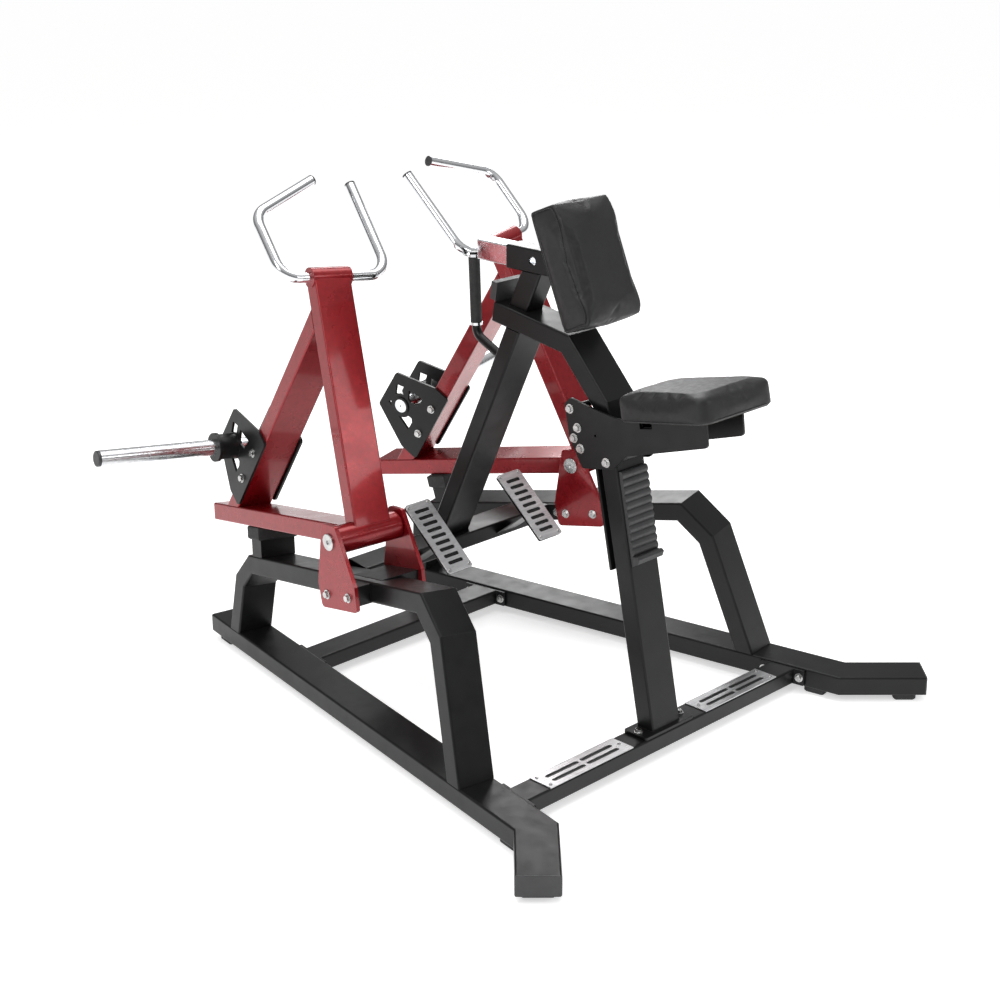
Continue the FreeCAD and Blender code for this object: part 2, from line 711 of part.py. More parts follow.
def pivot_parts():
    half = PIVOT_SPAN / 2
    inner = half - PIVOT_PLATE_T
    stub = placed(prism(stub_outline(), -inner, inner), PIVOT).cut(arch_envelope())
    plates = []
    bolts = []
    caps = []
    shaft_hole = Part.makeCylinder(PIVOT_SHAFT_R, PIVOT_SPAN + 4 * SPARE, Vector(0, 0, -half - 2 * SPARE))
    for side in (-1, 1):
        low = inner if side > 0 else -half
        plate = rounded(PIVOT_PLATE_OUTLINE, PIVOT_PLATE_R, low, low + PIVOT_PLATE_T).cut(shaft_hole)
        plates.append(placed(plate, PIVOT))
        outward = PIVOT_AXIS * side
        for x, y in PIVOT_BOLTS:
            bolts.append(bolt(PIVOT.multVec(Vector(x, y, side * half)), outward))
        cap = Part.makeCylinder(PIVOT_CAP_R, PIVOT_CAP_T)
        rim = [edge for edge in cap.Edges if edge.CenterOfMass.z > PIVOT_CAP_T - SLACK]
        cap = cap.makeFillet(PIVOT_CAP_ROUND, rim)
        socket = hexagon(CAP_SOCKET_R, PIVOT_CAP_T)
        socket.translate(Vector(0, 0, PIVOT_CAP_T * PIVOT_SOCKET_FLOOR))
        cap = cap.cut(socket)
        cap.Placement = Placement(PIVOT.multVec(Vector(0, 0, side * half)), Rotation(Vector(0, 0, 1), outward))
        caps.append(cap)
    shaft = placed(Part.makeCylinder(PIVOT_SHAFT_R, PIVOT_SPAN, Vector(0, 0, -half)), PIVOT)
    return stub, plates, bolts, caps, shaft


def pivot_tube():
    half = PIVOT_SPAN / 2 - PIVOT_PLATE_T - PIVOT_SIDE_GAP
    bore = PIVOT_TUBE_R - PIVOT_TUBE_WALL
    tube = Part.makeCylinder(PIVOT_TUBE_R, 2 * half, Vector(0, 0, -half))
    tube = tube.cut(Part.makeCylinder(bore, 2 * half, Vector(0, 0, -half)))
    bearings = []
    for low in (-half, half - BEARING_L):
        ring = Part.makeCylinder(bore, BEARING_L, Vector(0, 0, low))
        ring = ring.cut(Part.makeCylinder(PIVOT_SHAFT_R + RUNNING_FIT, BEARING_L, Vector(0, 0, low)))
        bearings.append(placed(ring, PIVOT))
    return placed(tube, PIVOT), bearings


def pivot_tube_envelope():
    return placed(Part.makeCylinder(PIVOT_TUBE_R, NEAR, Vector(0, 0, -NEAR / 2)), PIVOT)


# ---------------------------------------------------------------- arm A-frame
ARM_LOW = ARM_OUTSET - ARM_W
ARM_HIGH = ARM_OUTSET


def bumper_top(s):
    """Top of the rubber bumper, where the arm's beam rests."""
    lift = (BUMPER_POST_H + BUMPER_PAD_H) * math.hypot(1, ARCH_SLOPE)
    return arch_top(s) + lift


def arm_beam_line():
    """Top edge of the arm's bottom beam, from the pivot to its rear end."""
    lift = (ARM_D + ARM_REST_GAP) * math.hypot(1, ARCH_SLOPE)
    end = PIVOT_BACK + ARM_BEAM_L
    return [(PIVOT_BACK, bumper_top(PIVOT_BACK) + lift), (end, bumper_top(end) + lift)]


def arm_parts():
    tube_space = pivot_tube_envelope()
    beam_solid = placed(envelope(arm_beam_line(), ARM_D, ARM_LOW, ARM_HIGH), ARCH)
    leg_solid = placed(envelope(LEG_LINE, ARM_D, ARM_LOW, ARM_HIGH), ARCH)
    sleeve_space = placed(Part.makeCylinder(SLEEVE_R, FAR, Vector(*SLEEVE, -FAR / 2)), ARCH)
    beam = placed(bent_tube(arm_beam_line(), ARM_D, ARM_LOW, ARM_HIGH, ARM_R), ARCH).cut(tube_space)
    leg = placed(bent_tube(extend(LEG_LINE, ARM_D), ARM_D, ARM_LOW, ARM_HIGH, ARM_R), ARCH)
    leg = leg.cut(tube_space).cut(sleeve_space).cut(beam_solid)
    leg = max(leg.Solids, key=lambda solid: solid.Volume)
    back = bent_tube(extend(BACK_LEG_LINE, BACK_LEG_TAIL * ARM_D), ARM_D, ARM_LOW, ARM_HIGH, ARM_R)
    back = placed(back, ARCH).cut(leg_solid).cut(beam_solid)
    back = max(back.Solids, key=lambda solid: solid.Volume)
    beam = max(beam.Solids, key=lambda solid: solid.Volume)
    start = Vector(*SLEEVE, ARM_OUTSET + SLEEVE_PROUD - SLEEVE_L)
    sleeve = Part.makeCylinder(SLEEVE_R, SLEEVE_L, start)
    bore = Part.makeCylinder(HANDLE_R + SLEEVE_CLEARANCE, SLEEVE_L, start)
    return beam, leg, back, placed(sleeve.cut(bore), ARCH)


def handle_point(reach, inward):
    """Point of the handle: a distance up its tilted plane and a distance inwards."""
    tilt = math.radians(HANDLE_TILT)
    x = SLEEVE[0] + reach * math.cos(tilt)
    y = SLEEVE[1] + reach * math.sin(tilt)
    return ARCH.multVec(Vector(x, y, -inward))


def handle():
    points = [handle_point(HANDLE_INSIDE_L, HANDLE_INSIDE - HANDLE_INSIDE_TOE)]
    points.append(handle_point(0, HANDLE_INSIDE))
    points.append(handle_point(0, -HANDLE_OUTSIDE))
    points.append(handle_point(HANDLE_OUTSIDE_L, -HANDLE_OUTSIDE - HANDLE_OUTSIDE_FLARE))
    points.append(handle_point(*HANDLE_TOP))
    tube = pipe_along(points, HANDLE_BEND_R, HANDLE_R, HANDLE_R - HANDLE_WALL)
    plugs = []
    for end, neighbour in ((0, 1), (-1, -2)):
        outward = (points[end] - points[neighbour]).normalize()
        plug = rod(HANDLE_R, points[end], points[end] + outward * PLUG_T)
        inner_r = HANDLE_R - HANDLE_WALL - CAP_CLEARANCE
        plug = plug.fuse(rod(inner_r, points[end] - outward * CAP_PLUG, points[end]))
        plugs.append(plug)
    return tube, plugs


# ---------------------------------------------------------------- weight horn
def back_leg_point(distance, across):
    """Point beside the back leg: a distance up from its foot and a distance behind its front face."""
    foot_x, foot_y = BACK_LEG_LINE[0]
    dx = BACK_LEG_LINE[1][0] - foot_x
    dy = BACK_LEG_LINE[1][1] - foot_y
    length = math.hypot(dx, dy)
    ux = dx / length
    uy = dy / length
    return (foot_x + ux * distance + uy * across, foot_y + uy * distance - ux * across)


def horn_plate_outline():
    lower = back_leg_point(HORN_PLATE_LOW, -HORN_PLATE_EDGE)
    upper = back_leg_point(HORN_PLATE_HIGH, -HORN_PLATE_EDGE)
    upper_rear = back_leg_point(HORN_PLATE_HIGH, ARM_D - HORN_PLATE_REAR_EDGE)
    x, y = HORN
    return [lower, upper, upper_rear] + [(x + dx, y + dy) for dx, dy in HORN_PLATE_REAR]


def around_horn(corners):
    """Window through the plates that keeps clear of the ring round the horn."""
    x, y = HORN
    window = prism([(x + dx, y + dy) for dx, dy in corners], -FAR, FAR)
    return window.cut(Part.makeCylinder(HORN_WINDOW_R, 2 * FAR, Vector(x, y, -FAR)))


def horn_plate_windows():
    """Three cut-outs round the horn: above it, towards the leg and behind it."""
    return [around_horn(corners) for corners in (WINDOW_ABOVE, WINDOW_TO_LEG, WINDOW_BEHIND)]


def horn_parts():
    outer_face = ARM_HIGH + HORN_PLATE_T
    inner_face = ARM_LOW - HORN_PLATE_T
    x, y = HORN

    def round_bar(radius, low, high):
        return Part.makeCylinder(radius, high - low, Vector(x, y, low))

    plates = []
    for low in (inner_face, ARM_HIGH):
        plate = rounded(horn_plate_outline(), HORN_PLATE_R, low, low + HORN_PLATE_T)
        for window in horn_plate_windows():
            plate = plate.cut(window)
        plates.append(plate)
    ring = round_bar(HORN_RING_R, inner_face - HORN_RING_T, inner_face)
    plates[0] = plates[0].fuse(ring)
    boss_end = outer_face + HORN_BOSS_L
    flange_end = boss_end + HORN_FLANGE_T
    boss = round_bar(HORN_BOSS_R, outer_face, boss_end).fuse(round_bar(HORN_FLANGE_R, boss_end, flange_end))
    spigot_hole = round_bar(HORN_SPIGOT_R, -FAR, FAR)
    collar = placed(boss.cut(spigot_hole), ARCH)
    plates = [placed(plate.cut(spigot_hole), ARCH) for plate in plates]
    root = inner_face - HORN_RING_T
    end = inner_face + HORN_LENGTH - HORN_CAP_T
    horn = round_bar(HORN_SPIGOT_R, root, flange_end).fuse(round_bar(HORN_R, flange_end, end))
    horn = horn.cut(round_bar(HORN_SPIGOT_R - HORN_WALL, root + HORN_END_T, end))
    horn = horn.cut(round_bar(HORN_CENTRE_R, root, root + HORN_END_T / 2))
    cap = round_bar(HORN_CAP_R, end, end + HORN_CAP_T)
    rim = [edge for edge in cap.Edges if edge.CenterOfMass.z > end + HORN_CAP_T - SLACK]
    cap = cap.makeFillet(HORN_CAP_ROUND, rim)
    cap = cap.fuse(round_bar(HORN_SPIGOT_R - HORN_WALL - CAP_CLEARANCE, end - CAP_PLUG, end))
    bolts = []
    for distance in (HORN_BOLT_LOW, HORN_BOLT_HIGH):
        across = back_leg_point(distance, ARM_D / 2)
        bolts.append(bolt(ARCH.multVec(Vector(*across, outer_face)), OUTWARD))
        bolts.append(bolt(ARCH.multVec(Vector(*across, inner_face)), OUTWARD * -1))
    return plates, collar, placed(horn, ARCH), placed(cap, ARCH), bolts


# ---------------------------------------------------------------- bumpers
def bumper_parts():
    foot_line = [(BUMPER_S, arch_top(BUMPER_S)), (BUMPER_S + BUMPER_L, arch_top(BUMPER_S + BUMPER_L))]
    slope = math.hypot(1, ARCH_SLOPE)
    back = (1 / slope, -ARCH_SLOPE / slope)
    up = (ARCH_SLOPE / slope, 1 / slope)
    start = foot_line[0]
    local = axes(Vector(start[0], start[1], 0), Vector(back[0], back[1], 0), Vector(up[0], up[1], 0))
    post = prism(rectangle(0, 0, BUMPER_L, BUMPER_POST_H), -TUBE_W, 0)
    over = (BUMPER_PAD_L - BUMPER_L) / 2
    side = (BUMPER_PAD_W - TUBE_W) / 2
    low = BUMPER_POST_H
    pad = box(-over, low, -TUBE_W - side, BUMPER_L + over, low + BUMPER_PAD_H, side)
    lip = [edge for edge in pad.Edges if abs(edge.CenterOfMass.y - low) < SLACK]
    pad = pad.makeChamfer(BUMPER_LIP, lip)
    crown = [edge for edge in pad.Edges if abs(edge.CenterOfMass.y - low - BUMPER_PAD_H) < SLACK]
    pad = pad.makeFillet(BUMPER_ROUND, crown)
    full = ARCH.multiply(local)
    return placed(post, full), placed(pad, full)


# ---------------------------------------------------------------- posts
def post_top(y):
    """Height of the main post's upper run at a distance back."""
    return POST_ELBOW_Z + (y - POST_ELBOW_Y) * math.tan(math.radians(POST_TOP_RISE))


def post_line():
    knee = (POST_BASE_Y + POST_KNEE_Z * math.tan(post_lean), POST_KNEE_Z)
    return [(POST_BASE_Y, 0.0), knee, (POST_ELBOW_Y, POST_ELBOW_Z), (POST_END_Y, post_top(POST_END_Y))]


def main_post():
    half = TUBE_W / 2
    line = post_line()
    line[0] = (line[0][0] - math.tan(post_lean) * TUBE_D, -TUBE_D)
    tube = placed(bent_tube(line, TUBE_D, -half, half), SIDE)
    floor = -BAR_DROP + POST_PLATE_T
    tube = tube.cut(box(-FAR, -FAR, -FAR, FAR, 2 * FAR, floor))
    centre = POST_BASE_Y + TUBE_D / 2
    plate = box(-POST_PLATE_W / 2, centre - POST_PLATE_D / 2, -BAR_DROP,
                POST_PLATE_W / 2, centre + POST_PLATE_D / 2, floor)
    upright = [edge for edge in plate.Edges if abs(edge.BoundBox.ZLength - POST_PLATE_T) < SLACK]
    plate = plate.makeFillet(POST_PLATE_R, upright)
    bolts = []
    for side in (-1, 1):
        bolts.append(bolt(Vector(side * (POST_PLATE_W / 2 - POST_BOLT_EDGE), centre, floor), Vector(0, 0, 1)))
    return tube.fuse(plate), bolts


def strip_parts():
    """Guide strip behind the main post on a narrow web; the seat's rollers run on it."""
    low = RACK_BOTTOM - STRIP_TAIL
    high = SEAT_ARM_TOP + STRIP_HEAD
    web = prism(rectangle(TUBE_D, low, TUBE_D + STRIP_OFF, high), -STRIP_WEB_W / 2, STRIP_WEB_W / 2)
    outline = rectangle(TUBE_D + STRIP_OFF, low, TUBE_D + STRIP_OFF + STRIP_T, high)
    strip = prism(outline, -TUBE_W / 2, TUBE_W / 2)
    return placed(web.fuse(strip), POST)


def post_cap():
    """Plastic cap in the main post's open rear end."""
    line = post_line()
    back = Vector(0, line[3][0] - line[2][0], line[3][1] - line[2][1]).normalize()
    right = Vector(1, 0, 0)
    up = back.cross(right)
    corner = Vector(-TUBE_W / 2, line[3][0], line[3][1]) - up * TUBE_D
    return end_cap(axes(corner + right * TUBE_W, right * -1, up))


def leaning_line(y, z):
    """Long line at the rear posts' lean through a point of the side plane."""
    tilt = math.radians(REAR_POST_LEAN)
    back = math.sin(tilt)
    up = math.cos(tilt)
    return [(y + back * TUBE_W, z - up * TUBE_W), (y - back * FAR, z + up * FAR)]


def rear_post_line():
    """Front edge of the rear post, from inside the crossbeam up past the main post."""
    return leaning_line(REAR_POST_Y, BEAM_TOP)


def rear_post():
    half = TUBE_W / 2
    tube = placed(bent_tube(rear_post_line(), REAR_POST_D, -half, half), SIDE)
    tube = tube.cut(box(-FAR, 0, -FAR, FAR, 2 * FAR, BEAM_TOP))
    line = post_line()
    under = offset_line(extend(line[2:], FAR), TUBE_D)
    above = [under[0], under[1], (under[1][0], 2 * FAR), (under[0][0], 2 * FAR)]
    return tube.cut(placed(prism(above, -FAR, FAR), SIDE))


def chest_post():
    half = CHEST_POST_W / 2
    line = leaning_line(CHEST_POST_Y, post_top(CHEST_POST_Y))
    tube = placed(bent_tube(line, CHEST_POST_W, -half, half), SIDE)
    tube = tube.cut(box(-FAR, -FAR, SLIDE_Z - SLIDE_W / 2, FAR, 3 * FAR, 3 * FAR))
    top = extend(post_line()[2:], FAR)
    below = [top[0], (top[0][0], -FAR), (top[1][0], -FAR), top[1]]
    return tube.cut(placed(prism(below, -FAR, FAR), SIDE))


# ---------------------------------------------------------------- chest sleeve, tube and pad
def square_tube(width, wall, y0, y1, radius):
    half = width / 2
    tube = bent_tube([(y0, half), (y1, half)], width, -half, half, radius, wall)
    return placed(tube, axes(Vector(0, 0, SLIDE_Z), Vector(0, 1, 0), Vector(0, 0, 1)))


def chest_profile():
    """Side outline of the chest pad: X out of its back, Y up it."""
    back = -PAD_BOARD_T
    shoulder = PAD_T - PAD_SHOULDER
    low = Vector(PAD_T, PAD_LOW_ROUND, 0)
    high = Vector(PAD_T, PAD_H - PAD_HIGH_ROUND, 0)
    low_middle = Vector(PAD_T - PAD_LOW_BOW, PAD_LOW_SHARE * PAD_LOW_ROUND, 0)
    high_middle = Vector(PAD_T - PAD_HIGH_BOW, PAD_H - PAD_HIGH_SHARE * PAD_HIGH_ROUND, 0)
    return Part.Wire([
        Part.LineSegment(Vector(back, 0, 0), Vector(shoulder, 0, 0)).toShape(),
        Part.Arc(Vector(shoulder, 0, 0), low_middle, low).toShape(),
        Part.LineSegment(low, high).toShape(),
        Part.Arc(high, high_middle, Vector(shoulder, PAD_H, 0)).toShape(),
        Part.LineSegment(Vector(shoulder, PAD_H, 0), Vector(back, PAD_H, 0)).toShape(),
        Part.LineSegment(Vector(back, PAD_H, 0), Vector(back, 0, 0)).toShape()])


def chest_parts():
    half = SLIDE_W / 2
    sleeve = square_tube(SLIDE_W, SLIDE_WALL, SLIDE_FRONT, SLIDE_REAR, SLEEVE_CORNER_R)
    side = Vector(half, CHEST_PIN_Y, SLIDE_Z)
    other = Vector(-half, CHEST_PIN_Y, SLIDE_Z)
    drill = Vector(SPARE, 0, 0)
    window = rod(CHEST_WINDOW_R, other - drill, other + drill)
    pin_hole = rod(CHEST_PIN_R + CHEST_PIN_CLEARANCE, Vector(0, CHEST_PIN_Y, SLIDE_Z), side + drill)
    sleeve = sleeve.cut(window).cut(pin_hole)
    pad_tilt = math.radians(PAD_LEAN)
    pad_at = axes(Vector(0, PAD_REAR_Y, PAD_REAR_Z), Vector(0, -math.cos(pad_tilt), math.sin(pad_tilt)),
                  Vector(0, math.sin(pad_tilt), math.cos(pad_tilt)))
    tube = square_tube(CHEST_TUBE_W, WALL, PAD_REAR_Y - PAD_T, CHEST_TUBE_REAR, CHEST_TUBE_R)
    ahead = placed(prism(rectangle(-PAD_BOARD_T, -NEAR, NEAR, 2 * NEAR), -NEAR, NEAR), pad_at)
    tube = tube.cut(ahead)
    slot_low = CHEST_PIN_Y - CHEST_PIN_R - 2.0
    slot_high = CHEST_PIN_Y + CHEST_TRAVEL + CHEST_PIN_R + 2.0
    slot = box(0, slot_low, SLIDE_Z - CHEST_PIN_R - 1.0, half, slot_high, SLIDE_Z + CHEST_PIN_R + 1.0)
    view_slot = box(-half, slot_low, SLIDE_Z - CHEST_PIN_R - 1.0, 0, slot_high, SLIDE_Z + CHEST_PIN_R + 1.0)
    tube = tube.cut(slot).cut(view_slot)
    inset = PAD_BOARD_INSET
    board = prism(rectangle(-PAD_BOARD_T, inset, 0, PAD_H - inset), -PAD_W / 2 + inset, PAD_W / 2 - inset)
    pad = Part.Face(chest_profile()).extrude(Vector(0, 0, PAD_W))
    pad.translate(Vector(0, 0, -PAD_W / 2))
    pad = pad.cut(board)
    return sleeve, tube, placed(board, pad_at), placed(pad, pad_at)


def pull_pin():
    half = SLIDE_W / 2
    start = Vector(half, CHEST_PIN_Y, SLIDE_Z)
    right = Vector(1, 0, 0)
    housing = rod(PIN_HOUSING_R, start, start + right * PIN_HOUSING_L)
    housing = housing.cut(rod(CHEST_PIN_R + CHEST_PIN_CLEARANCE, start, start + right * PIN_HOUSING_L))
    tip = start - right * (SLIDE_WALL + WALL + PIN_TIP)
    knob_at = start + right * (PIN_HOUSING_L + 1.0)
    pin = rod(CHEST_PIN_R, tip, knob_at)
    knob = rod(KNOB_R, knob_at, knob_at + right * KNOB_T)
    knob = knob.makeFillet(KNOB_ROUND, knob.Edges)
    return housing, pin, knob


# ---------------------------------------------------------------- fixed grip
def fixed_grip():
    square = math.radians(REAR_POST_LEAN)
    bend = Vector(0, GRIP_BEND[0], GRIP_BEND[1])
    root = bend - Vector(0, math.cos(square), math.sin(square)) * GRIP_STUB_L
    top = Vector(0, GRIP_TOP_Y, GRIP_TOP_Z)
    tube = pipe_along([root, bend, top], GRIP_BEND_R, GRIP_R)
    up = (top - bend).normalize()

    def at_height(z):
        return bend + up * ((z - bend.z) / up.z)

    rings = []
    for z in (GRIP_LOW_Z, GRIP_HIGH_Z):
        ring = rod(RING_R, at_height(z), at_height(z) + up * RING_T)
        rings.append(ring.cut(rod(GRIP_R, at_height(z) - up * SPARE, at_height(z) + up * (RING_T + SPARE))))
    rubber_low = at_height(GRIP_LOW_Z) + up * RING_T
    rubber = rod(GRIP_RUBBER_R, rubber_low, at_height(GRIP_HIGH_Z))
    rubber = rubber.cut(rod(GRIP_R, rubber_low - up * SPARE, top))
    return tube, rings, rubber


# ---------------------------------------------------------------- seat rack and carriage
def rack():
    """Wavy rack on the post's front face with a stop lip at its foot."""
    points = [Vector(0, RACK_BOTTOM, 0), Vector(-RACK_T, RACK_BOTTOM, 0)]
    edges = [Part.LineSegment(points[0], points[1]).toShape()]
    at = points[1]
    for wave in range(RACK_WAVES):
        top = Vector(-RACK_T, RACK_BOTTOM + (wave + 1) * RACK_PITCH, 0)
        middle = Vector(-RACK_T - RACK_SWELL, (at.y + top.y) / 2, 0)
        edges.append(Part.Arc(at, middle, top).toShape())
        at = top
    corner = Vector(0, at.y, 0)
    edges.append(Part.LineSegment(at, corner).toShape())
    edges.append(Part.LineSegment(corner, points[0]).toShape())
    wavy = Part.Face(Part.Wire(edges)).extrude(Vector(0, 0, RACK_W))
    wavy.translate(Vector(0, 0, -RACK_W / 2))
    lip = prism([(x, RACK_BOTTOM + y) for x, y in RACK_LIP], -RACK_W / 2, RACK_W / 2)
    return placed(wavy.fuse(lip), POST)


def carriage_outline():
    top = SEAT_ARM_TOP
    front = SEAT_ARM_FRONT
    points = [(front, top), (SEAT_REAR, top)]
    points += [(x, top + y) for x, y in SEAT_PLATE_REAR]
    return points + [(front + SEAT_ARM_SETBACK, top - SEAT_ARM_DEEP)]


def carriage():
    plates = []
    notch = prism(rectangle(NOTCH_FRONT, SEAT_ARM_TOP - NOTCH_DEEP, NOTCH_REAR, SEAT_ARM_TOP + TUBE_D), -FAR, FAR)
    hole_x, hole_y = SEAT_PLATE_HOLE
    hole = Part.makeCylinder(SEAT_HOLE_R, 2 * FAR, Vector(hole_x, SEAT_ARM_TOP + hole_y, -FAR))
    for low in (SEAT_PLATE_X, -SEAT_PLATE_X - SEAT_PLATE_T):
        plate = rounded(carriage_outline(), SEAT_PLATE_R, low, low + SEAT_PLATE_T).cut(notch).cut(hole)
        plates.append(placed(plate, POST))
    outside = rectangle(NOTCH_FRONT, SEAT_ARM_TOP - NOTCH_DEEP, NOTCH_REAR, SEAT_ARM_TOP)
    bottom = SEAT_ARM_TOP - NOTCH_DEEP + WALL
    inside = rectangle(NOTCH_FRONT + WALL, bottom, NOTCH_REAR - WALL, SEAT_ARM_TOP - WALL)
    crossbar_solid = prism(outside, -SEAT_PLATE_X, SEAT_PLATE_X)
    crossbar_solid = crossbar_solid.cut(prism(inside, -SEAT_PLATE_X, SEAT_PLATE_X))
    roller_a = TUBE_D + STRIP_OFF + STRIP_T + ROLLER_R + ROLLER_GAP
    top = SEAT_ARM_TOP
    rollers = []
    roller_end = SEAT_PLATE_X - ROLLER_SIDE_GAP
    for drop in ROLLER_DROPS:
        roller = Part.makeCylinder(ROLLER_R, 2 * roller_end, Vector(roller_a, top - drop, -roller_end))
        rollers.append(placed(roller, POST))
    spacers = []
    for rise in SPACER_RISES:
        spacer = Part.makeCylinder(SPACER_R, 2 * SEAT_PLATE_X, Vector(SPACER_BACK, top + rise, -SEAT_PLATE_X))
        spacers.append(placed(spacer, POST))
    latch_at = Vector(-RACK_T - RACK_SWELL - LATCH_GAP - LATCH_R, top - LATCH_DROP, -SEAT_PLATE_X)
    latch = placed(Part.makeCylinder(LATCH_R, 2 * SEAT_PLATE_X, latch_at), POST)
    blocks = []
    beside_post = TUBE_W / 2 + BLOCK_CLEARANCE
    for low in (beside_post, -SEAT_PLATE_X):
        outline = rectangle(BLOCK_NEAR, top - BLOCK_LOW, BLOCK_REACH, top - BLOCK_HIGH)
        block = prism(outline, low, low + SEAT_PLATE_X - beside_post)
        blocks.append(placed(block, POST))
    bolts = []
    places = [(SPACER_BACK, top + rise) for rise in SPACER_RISES]
    places += [(roller_a, top - drop) for drop in ROLLER_DROPS]
    places.append((BLOCK_BOLT[0], top + BLOCK_BOLT[1]))
    for a, up in places:
        for side in (-1, 1):
            at = POST.multVec(Vector(a, up, side * (SEAT_PLATE_X + SEAT_PLATE_T)))
            bolts.append(bolt(at, Vector(side, 0, 0)))
    return plates, placed(crossbar_solid, POST), rollers, spacers, latch, blocks, bolts


def seat():
    """Tapered cushion wrapped over a board, square to the leaning post."""
    rear = SEAT_REAR
    front = SEAT_REAR - SEAT_L

    def tapered(inset, low, high, radius):
        outline = [(rear - inset, SEAT_REAR_W / 2 - inset), (front + inset, SEAT_FRONT_W / 2 - inset),
                   (front + inset, -SEAT_FRONT_W / 2 + inset), (rear - inset, -SEAT_REAR_W / 2 + inset)]
        slab = rounded(outline, radius, low, high)
        return placed(slab, axes(Vector(0, POST_BASE_Y, 0), POST_BACK, Vector(-1, 0, 0)))

    board = tapered(SEAT_BOARD_INSET, SEAT_ARM_TOP, SEAT_ARM_TOP + SEAT_BOARD_T, SEAT_CORNER_R - SEAT_BOARD_INSET)
    cushion = tapered(0.0, SEAT_ARM_TOP, SEAT_ARM_TOP + SEAT_T, SEAT_CORNER_R)
    return board, cushion.cut(board)


# ---------------------------------------------------------------- foot plates and steps
def foot_plates():
    """Slotted plate on a backing plate and a bar from the crossbeam."""
    pitch = math.radians(FOOT_PLATE_PITCH)
    up = Vector(0, math.cos(pitch), math.sin(pitch))
    corner = Vector(FOOT_PLATE_X0, BEAM_Y - FOOT_PLATE_AHEAD, BEAM_TOP - FOOT_PLATE_DROP)
    # local X to the right, Y up the plate, Z towards the user
    local = axes(corner, Vector(1, 0, 0), up)
    face = Vector(1, 0, 0).cross(up)
    plate = rounded(rectangle(0, 0, FOOT_PLATE_W, FOOT_PLATE_L), FOOT_PLATE_R, -FOOT_PLATE_T, 0)
    pitch_step = (FOOT_PLATE_L - 2 * FOOT_MARGIN) / FOOT_SLOTS
    for index in range(FOOT_SLOTS):
        y = FOOT_MARGIN + pitch_step * (index + 0.5)
        outline = rectangle(FOOT_MARGIN, y - FOOT_SLOT_H / 2, FOOT_PLATE_W - FOOT_MARGIN, y + FOOT_SLOT_H / 2)
        plate = plate.cut(rounded(outline, FOOT_SLOT_H / 2 - SLACK, -FOOT_PLATE_T, 0))
    back_low = -FOOT_PLATE_T - FOOT_BACK_T
    inset = FOOT_BACK_INSET
    outline = rectangle(inset, inset, FOOT_PLATE_W - inset, FOOT_PLATE_L - inset)
    back = rounded(outline, FOOT_PLATE_R - inset, back_low, -FOOT_PLATE_T)
    screws = []
    for x in (FOOT_MARGIN / 2, FOOT_PLATE_W - FOOT_MARGIN / 2):
        for y in (FOOT_MARGIN / 2, FOOT_PLATE_L - FOOT_MARGIN / 2):
            screws.append(screw(local.multVec(Vector(x, y, 0)), face))
    rise = math.radians(FOOT_BAR_RISE)
    root = (BEAM_Y + FOOT_BAR_SETBACK, BEAM_TOP)
    tip = (root[0] - FAR * math.cos(rise), root[1] + FAR * math.sin(rise))
    bar = bent_tube([tip, root], FOOT_BAR_H, FOOT_PLATE_X0, FOOT_PLATE_X0 + FOOT_PLATE_W, FOOT_BAR_R)
    bar = placed(bar, SIDE)
    bar = bar.cut(placed(prism(rectangle(-FAR, -FAR, FAR, FAR), back_low, 2 * FAR), local))
    bar = bar.cut(box(0, BEAM_Y, 0, FAR, 2 * FAR, BEAM_TOP))
    bar = max(bar.Solids, key=lambda solid: solid.Volume)
    return placed(plate, local), placed(back, local), bar, screws


def step_plates():
    plate = box(STEP_X0, 0, 0, STEP_X0 + STEP_L, STEP_D, STEP_T)
    for column in range(2):
        for row in range(2):
            x = STEP_X0 + STEP_SLOT_X + column * STEP_SLOT_PITCH_X
            y = STEP_SLOT_Y + row * STEP_SLOT_PITCH_Y
            outline = rectangle(x, y, x + STEP_SLOT_L, y + STEP_SLOT_W)
            slot = rounded(outline, STEP_SLOT_W / 2 - SLACK, -SPARE, SPARE)
            plate = plate.cut(slot)
    plate.translate(Vector(0, FRONT_BAR_Y + STEP_SETBACK, -BAR_DROP))
    outer = STEP_X0 + STEP_L - STEP_SCREW_INSET
    places = [(STEP_X0 + STEP_SCREW_EDGE, STEP_D / 2), (outer, STEP_SCREW_INSET)]
    places.append((outer, STEP_D - STEP_SCREW_INSET))
    screws = []
    for x, y in places:
        at = Vector(x, FRONT_BAR_Y + STEP_SETBACK + y, -BAR_DROP + STEP_T)
        screws.append(screw(at, Vector(0, 0, 1)))
    return plate, screws


